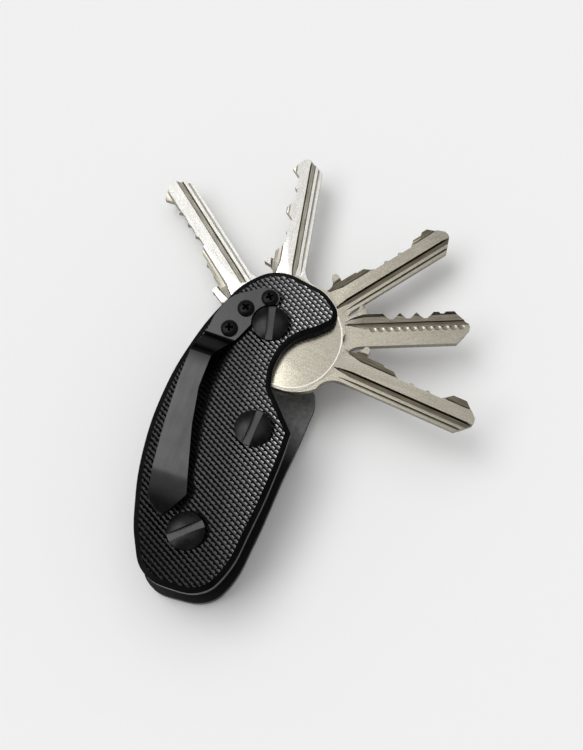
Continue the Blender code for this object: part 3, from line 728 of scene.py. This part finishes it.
black_steel = MottledFinish("blackened_steel", OXIDE_PALE, 0.24, 0.0, 0.25)
black_steel.vary_colour(500.0, OXIDE_DARK, OXIDE_PALE)
black_steel.vary_roughness(1500.0, 0.22, 0.34)
black_steel.vary_height(6000.0, 0.000003)
pan_steel = MottledFinish("blackened_pan_steel", (0.004, 0.004, 0.0042), 0.30, 0.0, 0.12)
pan_steel.vary_roughness(2500.0, 0.22, 0.42)
pan_steel.vary_height(5000.0, 0.000005)
slot_steel = MottledFinish("slot_floor_steel", (0.034, 0.034, 0.0345), 0.38, 0.0)
slot_steel.vary_roughness(3000.0, 0.28, 0.44)
slot_steel.vary_height(4000.0, 0.000005)
print("three blackened finishes for the screws")

# %% [markdown]
# ## Slotted screws
#
# Each post is closed from the front by a domed screw with a wide slot. The dome is part of a large ball, so its
# profile is worked out from the head's radius and the dome's height, and each slot is turned as in the picture.

# %% Domed screws with a slot
HEAD_RADIUS = 0.0042
RIM_HEIGHT = 0.0009
DOME_HEIGHT = 0.0009
DOME_STEPS = 14
SHANK_RADIUS = 0.00135
SLOT_WIDTH = 0.0017
SLOT_DEPTH = 0.0010
POSTS = {"pivot": (0.0, 0.0, 104.0), "middle": (0.0053, -0.025, 88.0), "lower": (0.0, -0.0517, 43.0)}
HEAD_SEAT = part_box("pivot_screw")[1].z - DOME_HEIGHT - RIM_HEIGHT


def slotted_screw(x, y, slot_angle, shank_end):
    """A domed head on its shank, with a slot across it whose floor has the second finish."""
    rim = HEAD_SEAT + RIM_HEIGHT
    ball = (HEAD_RADIUS**2 + DOME_HEIGHT**2) / (2 * DOME_HEIGHT)
    centre = rim + DOME_HEIGHT - ball
    radii = [HEAD_RADIUS * i / DOME_STEPS for i in range(DOME_STEPS + 1)]
    dome = [(radius, centre + math.sqrt(ball**2 - radius**2)) for radius in radii]
    shank = [(HEAD_RADIUS, HEAD_SEAT), (SHANK_RADIUS, HEAD_SEAT), (SHANK_RADIUS, shank_end), (0.0, shank_end)]
    head = spun(dome + shank, x, y)
    bar = bmesh.new()
    bmesh.ops.create_cube(bar, size=1.0)
    bmesh.ops.scale(bar, verts=bar.verts, vec=(3 * HEAD_RADIUS, SLOT_WIDTH, 2 * SLOT_DEPTH))
    bmesh.ops.rotate(bar, verts=bar.verts, matrix=Matrix.Rotation(math.radians(slot_angle), 3, "Z"))
    bmesh.ops.translate(bar, verts=bar.verts, vec=(x, y, rim + DOME_HEIGHT))
    head = cut_away(head, bar)
    floor = rim + DOME_HEIGHT - SLOT_DEPTH
    for face in head.faces:
        if all(abs(vert.co.z - floor) < FLATNESS for vert in face.verts):
            face.material_index = 1
    return head


for post, (x, y, slot_angle) in POSTS.items():
    place_piece(
        f"{post}_screw_dressed", slotted_screw(x, y, slot_angle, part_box(f"{post}_screw")[0].z),
        [black_steel, slot_steel], "handle", [f"{post}_screw"], EDGE_ROUNDING,
    )

# %% [markdown]
# ## Barrel nuts
#
# Behind each slotted screw is a nut with a long barrel through both plates. Only its flat head is seen, on the
# back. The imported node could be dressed, but spinning the same profile again gives rounder walls with no more
# work.

# %% Nuts
BARREL_RADIUS = 0.00225
BARREL_BORE = 0.00165
NUT_HEAD_HEIGHT = 0.0012
NUT_FLOOR = 0.001
NUT_CHAMFER = 0.0004
TURNED_ROUNDING = 0.00010

for post, (x, y, _) in POSTS.items():
    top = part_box(f"{post}_barrel")[1].z
    bore_floor = NUT_HEAD_HEIGHT + NUT_FLOOR
    profile = [
        (0.0, bore_floor), (BARREL_BORE, bore_floor), (BARREL_BORE, top), (BARREL_RADIUS, top),
        (BARREL_RADIUS, NUT_HEAD_HEIGHT), (HEAD_RADIUS, NUT_HEAD_HEIGHT), (HEAD_RADIUS, NUT_CHAMFER),
        (HEAD_RADIUS - NUT_CHAMFER, 0.0), (0.0, 0.0),
    ]
    place_piece(
        f"{post}_nut_dressed", spun(profile, x, y), [black_steel], "handle", [f"{post}_barrel"],
        TURNED_ROUNDING,
    )

# %% [markdown]
# ## Clip screws
#
# Three small pan-head screws with a cross recess hold the clip. The recess is pressed in, and narrows towards its
# bottom. It could be painted on as a dark cross, but its walls catch light as the view changes, so two tapering
# bars are cut out of the spun head. Inside, the recess is painted flat black with no gloss: painted shade.

# %% Shape of a pan head
PAN_RADIUS = 0.0020
PAN_HEIGHT = 0.0010
PAN_SHANK = 0.0009
PAN_FALL = 0.72
PAN_SQUARENESS = 1.4
PAN_STEPS = 40
CROSS_LENGTH = 0.0027
CROSS_WIDTH = 0.00075
CROSS_DEPTH = 0.0008
CROSS_TAPER = 0.45
RECESS_EDGE = 0.00004


def pan_drop(radius):
    """How far the pan's surface has fallen at a radius."""
    share = min(1.0, radius / PAN_RADIUS)
    return PAN_HEIGHT * PAN_FALL * (1 - math.sqrt(1 - share**2)) ** PAN_SQUARENESS


def cross_screw(x, y, turn, seat, shank_end):
    """A pan head on its shank, with a cross recess whose faces have the second finish."""
    top = seat + PAN_HEIGHT
    radii = [PAN_RADIUS * math.sin(math.radians(a)) for a in range(0, 91, 9)]
    pan = [(radius, top - pan_drop(radius)) for radius in radii]
    shank = [(PAN_RADIUS, seat), (PAN_SHANK, seat), (PAN_SHANK, shank_end), (0.0, shank_end)]
    head = spun(pan + shank, x, y, PAN_STEPS)
    for quarter in (0, 90):
        bar = bmesh.new()
        bmesh.ops.create_cube(bar, size=1.0)
        bmesh.ops.scale(bar, verts=bar.verts, vec=(CROSS_LENGTH, CROSS_WIDTH, 2 * CROSS_DEPTH))
        low = [vert for vert in bar.verts if vert.co.z < 0]
        bmesh.ops.scale(bar, verts=low, vec=(CROSS_TAPER, CROSS_TAPER, 1.0))
        bmesh.ops.rotate(bar, verts=bar.verts, matrix=Matrix.Rotation(math.radians(turn + quarter), 3, "Z"))
        bmesh.ops.translate(bar, verts=bar.verts, vec=(x, y, top))
        head = cut_away(head, bar)
    for face in head.faces:
        middle = face.calc_center_median()
        radius = math.hypot(middle.x - x, middle.y - y)
        inside = top - CROSS_DEPTH - FLATNESS < middle.z < top - pan_drop(radius) - RECESS_EDGE
        if radius < CROSS_LENGTH / 2 and inside:
            face.material_index = 1
    return head


# %% Three pan-head screws
CLIP_SCREWS = {1: (-0.0084, -0.0046, 20.0), 2: (-0.0066, 0.0014, 62.0), 3: (-0.0023, 0.0057, 38.0)}
PAN_ROUNDING = 0.00005

# The recess's flat black with no gloss is painted shade.
recess_shade = MottledFinish("recess_painted_shade", (0.0015, 0.0015, 0.0015), 0.6, 0.0, 0.0)
recess_shade.vary_roughness(3000.0, 0.5, 0.7)
for number, (x, y, turn) in CLIP_SCREWS.items():
    low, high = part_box(f"clip_screw_{number}")
    place_piece(
        f"clip_screw_{number}_dressed", cross_screw(x, y, turn, high.z - PAN_HEIGHT, low.z),
        [pan_steel, recess_shade], "handle", [f"clip_screw_{number}"], PAN_ROUNDING,
    )

# %% [markdown]
# ## Sleeve, spacers and washers
#
# A sleeve and a stack of spacers keep the plates apart, and thin washers keep the keys from rubbing on each other.
# They are plain rings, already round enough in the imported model, so they are copied and only their edges are
# rounded. The steel ones show the fine rings that a lathe leaves: a noise squeezed along Z. The washers are brass.

# %% Rings on the posts
SPACER_NODES = ["middle_sleeve"] + [f"lower_spacer_{number}" for number in range(1, 5)]
WASHER_NODES = [f"key_washer_{number}" for number in range(1, 7)]
WASHER_ROUNDING = 0.00004

turned_steel = PlacedFinish("turned_steel", (0.42, 0.42, 0.43), 0.30, 1.0)
turned_steel.vary_roughness(2500.0, 0.24, 0.40)
lathe_rings = turned_steel.turned_place(scale=(0.05, 0.05, 3.0))
turned_steel.bump(turned_steel.noise(2500.0, 1.0, lathe_rings), 0.000004)
brass = MottledFinish("washer_brass", (0.62, 0.47, 0.22), 0.28, 1.0)
brass.vary_roughness(2500.0, 0.22, 0.38)
for nodes, finish, slot, rounding in (
    (SPACER_NODES, turned_steel, "spacer", TURNED_ROUNDING), (WASHER_NODES, brass, "washer", WASHER_ROUNDING)
):
    for node in nodes:
        place_piece(f"{node}_dressed", welded_copy(node), [finish], "handle", [node], rounding)

# %% [markdown]
# ## Keys: the metal
#
# Three keys are bare nickel silver, a warm grey, and two are plated and whiter. One metal with a tint could serve
# for all, but a used key is two metals: its flats are polished by the pocket, and its grooves are darker and
# browner, partly dirt and partly painted shade. Which is which follows from the height, since the grooves lie near
# the blade's middle plane. The grain runs along the blade, so the coordinates are turned by the key's angle and
# squeezed that way. Towards the tip the flats' colour changes, darker on the bare keys and brighter on the plated
# ones.

# %% Metal of a key's flats and grooves
KEY_ANGLES = (141.0, 101.1, 53.3, 22.0, -5.2)
KEY_METALS = ("plated", "plated", "warm", "warm", "warm")
# Dark and pale metal, dark and pale groove colour (partly dirt, partly painted shade), and how bright the tip is
# against the bow.
KEY_TINTS = {
    "warm": ((0.40, 0.37, 0.295), (0.68, 0.64, 0.54), (0.085, 0.075, 0.054), (0.21, 0.187, 0.138), 0.66),
    "plated": ((0.62, 0.61, 0.57), (0.86, 0.85, 0.81), (0.24, 0.225, 0.18), (0.46, 0.435, 0.37), 1.12),
}
ALONG_BLADE = 0.05
BOW_END, BOW_MARGIN = 0.0135, 0.0015
TIP_TONE_FULL = 0.050
SPINE_Y, SPINE_MARGIN = -0.0041, 0.0002
DIRT_AND_SHADE_HEIGHT, DIRT_AND_SHADE_MARGIN = 0.00062, 0.00026
RIPPLED_KEY = 4
RIPPLED_DIRT_AND_SHADE_HEIGHT = 0.00048


def key_metal(number, angle):
    """Nickel silver with milling grain along the blade, darker and browner down in the grooves and cuts, partly dirt
    and partly painted shade.
    """
    low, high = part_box(f"key_{number}")
    dark, pale, dirt_and_shade_dark, dirt_and_shade_pale, tip_share = KEY_TINTS[KEY_METALS[number - 1]]
    finish = PlacedFinish(f"nickel_silver_{number}", pale, 0.30, 1.0)
    blade = finish.turned_place(math.radians(angle), (0, 0, (low.z + high.z) / 2), (ALONG_BLADE, 1.0, 1.0))
    grain = finish.noise(5200.0, 3.0, blade)
    speckle = finish.noise(3400.0, 4.0)
    speckled = finish.spread(speckle, 0.0, 1.0, 0.25, 0.75)
    bow_metal = finish.between(speckled, dark, pale)
    tip_metal = finish.between(speckled, tuple(tip_share * c for c in dark), tuple(tip_share * c for c in pale))
    tipwards = finish.spread(finish.coordinate("X", blade), 0.0, 1.0, ALONG_BLADE * BOW_END, ALONG_BLADE * TIP_TONE_FULL)
    # Towards the tip the flats turn darker on the bare keys and brighter on the plated ones.
    worn = finish.maths("MULTIPLY", tipwards, finish.spread(finish.noise(150.0), 0.6, 1.0))
    flats = finish.between(worn, bow_metal, tip_metal)
    # The grooves' darker, browner colour is partly dirt and partly painted shade.
    dirt_and_shade = finish.between(finish.spread(grain, 0.0, 1.0), dirt_and_shade_dark, dirt_and_shade_pale)
    from_middle = finish.maths("ABSOLUTE", finish.coordinate("Z", blade))
    dirt_and_shade_height = RIPPLED_DIRT_AND_SHADE_HEIGHT if number == RIPPLED_KEY else DIRT_AND_SHADE_HEIGHT
    in_groove = finish.spread(from_middle, 1.0, 0.0, dirt_and_shade_height, dirt_and_shade_height + DIRT_AND_SHADE_MARGIN)
    past_bow = finish.spread(
        finish.coordinate("X", blade), 0.0, 1.0, ALONG_BLADE * BOW_END, ALONG_BLADE * (BOW_END + BOW_MARGIN)
    )
    above_spine = finish.spread(finish.coordinate("Y", blade), 0.0, 1.0, SPINE_Y, SPINE_Y + SPINE_MARGIN)
    dirt_and_shade_share = finish.maths("MULTIPLY", in_groove, finish.maths("MULTIPLY", past_bow, above_spine))
    finish.colour(finish.between(dirt_and_shade_share, flats, dirt_and_shade))
    finish.roughness(finish.spread(grain, 0.17, 0.32))
    finish.bump(finish.maths("ADD", grain, speckle), 0.000003)
    return finish


# %% [markdown]
# ## Keys: bows
#
# A bow is coined: a die presses its rim round and leaves a fine line inside it, and both get a near-white metal,
# partly the coining's polish and partly a painted highlight. The modifier that rounds the other edges would do for
# the rim, but it is too narrow there, so the rim gets its own wide bevel. The line is seen on one bow only, the one
# that the thumb notch leaves open. It is a shallow V, and its two slopes catch the light, so an oval ring with a V
# section is cut out of that bow.

# %% Round a bow's rim and cut its line
RIM_ROUNDING = 0.00035
BOW_BORE = 0.0045
LINED_BOW = 5
LINE_CENTRE = 0.0066
LINE_RADIUS = 0.01185
LINE_REACH = 0.0102
LINE_HALF_WIDTH = 0.00014
LINE_DEPTH = 0.00002
LINE_STEPS = 96
UPRIGHT, ALMOST_LEVEL = 0.3, 0.998

# Near-white metal for the rim and the line: partly polish, partly painted highlight.
coined_rim_highlight = MottledFinish("coined_key_rim_painted_highlight", (0.97, 0.95, 0.88), 0.16, 1.0)
coined_rim_highlight.vary_roughness(2600.0, 0.10, 0.22)


def soften_bow(shape):
    """The coined rim: the bow's outline is rounded much more than the blade's edges, and has the third finish."""
    rim = [
        edge for edge in shape.edges
        if all(math.hypot(v.co.x, v.co.y) < BOW_END - BOW_MARGIN for v in edge.verts)
        and edge.calc_face_angle(0.0) > CORNER
        and all(math.hypot(v.co.x, v.co.y) > BOW_BORE for v in edge.verts)
    ]
    cut = bmesh.ops.bevel(
        shape, geom=rim, offset=RIM_ROUNDING, offset_type="OFFSET", segments=3, profile=0.5, affect="EDGES",
        clamp_overlap=True, material=-1,
    )
    for face in cut["faces"]:
        face.material_index = 2
    return shape


def lined_bow(shape, number, angle):
    """Cuts a fine V-shaped line inside the bow's rim, an oval on its upper face, with the third finish."""
    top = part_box(f"key_{number}")[1].z
    section = [
        (LINE_RADIUS - LINE_HALF_WIDTH, top), (LINE_RADIUS, top - LINE_DEPTH),
        (LINE_RADIUS + LINE_HALF_WIDTH, top), (LINE_RADIUS, top + LINE_DEPTH),
    ]
    ring = spun(section, steps=LINE_STEPS)
    bmesh.ops.scale(ring, verts=ring.verts, vec=(LINE_REACH / LINE_RADIUS, 1, 1))
    bmesh.ops.translate(ring, verts=ring.verts, vec=(LINE_CENTRE, 0, 0))
    bmesh.ops.rotate(ring, verts=ring.verts, matrix=Matrix.Rotation(math.radians(angle), 3, "Z"))
    shape = cut_away(shape, ring)
    for face in shape.faces:
        at_top = all(top - LINE_DEPTH - FLATNESS < vert.co.z for vert in face.verts)
        if at_top and UPRIGHT < face.normal.z < ALMOST_LEVEL:
            face.material_index = 2
    return shape


# %% [markdown]
# ## Keys: ripples
#
# One key has rows of small shallow hollows along the ledges beside its groove. Round balls would cut deep pits
# that look drilled, and a bump would vanish from the side. Balls pressed flat to lenses leave the right dishes, so
# they are what is cut out.

# %% Hollow out a key's ledges
RIPPLE_PITCH = 0.0019
RIPPLE_ROWS = (0.00020, 0.00300)
RIPPLES_IN_ROW = 12
FIRST_RIPPLE = 0.0240
RIPPLE_RADIUS = 0.00094
RIPPLE_HALF_HEIGHT = 0.00022
RIPPLE_LIFT = 0.00013
LEDGE_ABOVE_MIDDLE = 0.00065


def rippled_ledges(shape, number, angle):
    """Cuts two rows of lens-shaped hollows along the key's ledges."""
    low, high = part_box(f"key_{number}")
    height = (low.z + high.z) / 2 + LEDGE_ABOVE_MIDDLE + RIPPLE_LIFT
    lenses = bmesh.new()
    for y in RIPPLE_ROWS:
        for i in range(RIPPLES_IN_ROW):
            lens = bmesh.ops.create_uvsphere(lenses, u_segments=24, v_segments=16, radius=RIPPLE_RADIUS)["verts"]
            bmesh.ops.scale(lenses, verts=lens, vec=(1, 1, RIPPLE_HALF_HEIGHT / RIPPLE_RADIUS))
            bmesh.ops.translate(lenses, verts=lens, vec=(FIRST_RIPPLE + i * RIPPLE_PITCH, y, height))
    bmesh.ops.rotate(lenses, verts=lenses.verts, matrix=Matrix.Rotation(math.radians(angle), 3, "Z"))
    return cut_away(shape, lenses)


# %% [markdown]
# ## Five keys
#
# Each key's blank is the imported node with its rounded bow. The walls of its cuts and grooves could have the flats'
# metal, but every upright face gets a darker, rougher metal, whose darkness is painted shade. Each key rides on its
# own body, and turns on the pivot.

# %% Keys
KEY_ROUNDING = 0.00011

# The walls' darker colour is painted shade; their higher roughness is a cut edge's.
sawn_wall_with_shade = MottledFinish("sawn_key_wall_painted_shade", (0.30, 0.28, 0.23), 0.34, 1.0)
sawn_wall_with_shade.vary_colour(2600.0, (0.13, 0.12, 0.09), (0.34, 0.32, 0.26))
sawn_wall_with_shade.vary_roughness(4200.0, 0.26, 0.44)
for number, angle in enumerate(KEY_ANGLES, 1):
    blank = soften_bow(welded_copy(f"key_{number}"))
    if number == RIPPLED_KEY:
        blank = rippled_ledges(blank, number, angle)
    if number == LINED_BOW:
        blank = lined_bow(blank, number, angle)
    blank.normal_update()
    for face in blank.faces:
        if face.material_index == 0 and abs(face.normal.z) < UPRIGHT:
            face.material_index = 1
    place_piece(
        f"key_{number}_dressed", blank, [key_metal(number, angle), sawn_wall_with_shade, coined_rim_highlight], f"key_{number}_body",
        [f"key_{number}"], KEY_ROUNDING, FINE_EDGE,
    )

# %% [markdown]
# ## Finish
#
# The dressed model must not grow past the imported one, or it would no longer fit where the part fits. Its size is
# printed here, in millimetres.

# %% Print the dressed model's size
low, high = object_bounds()
print("the dressed model spans", [round(1000 * side, 1) for side in high - low], "mm")
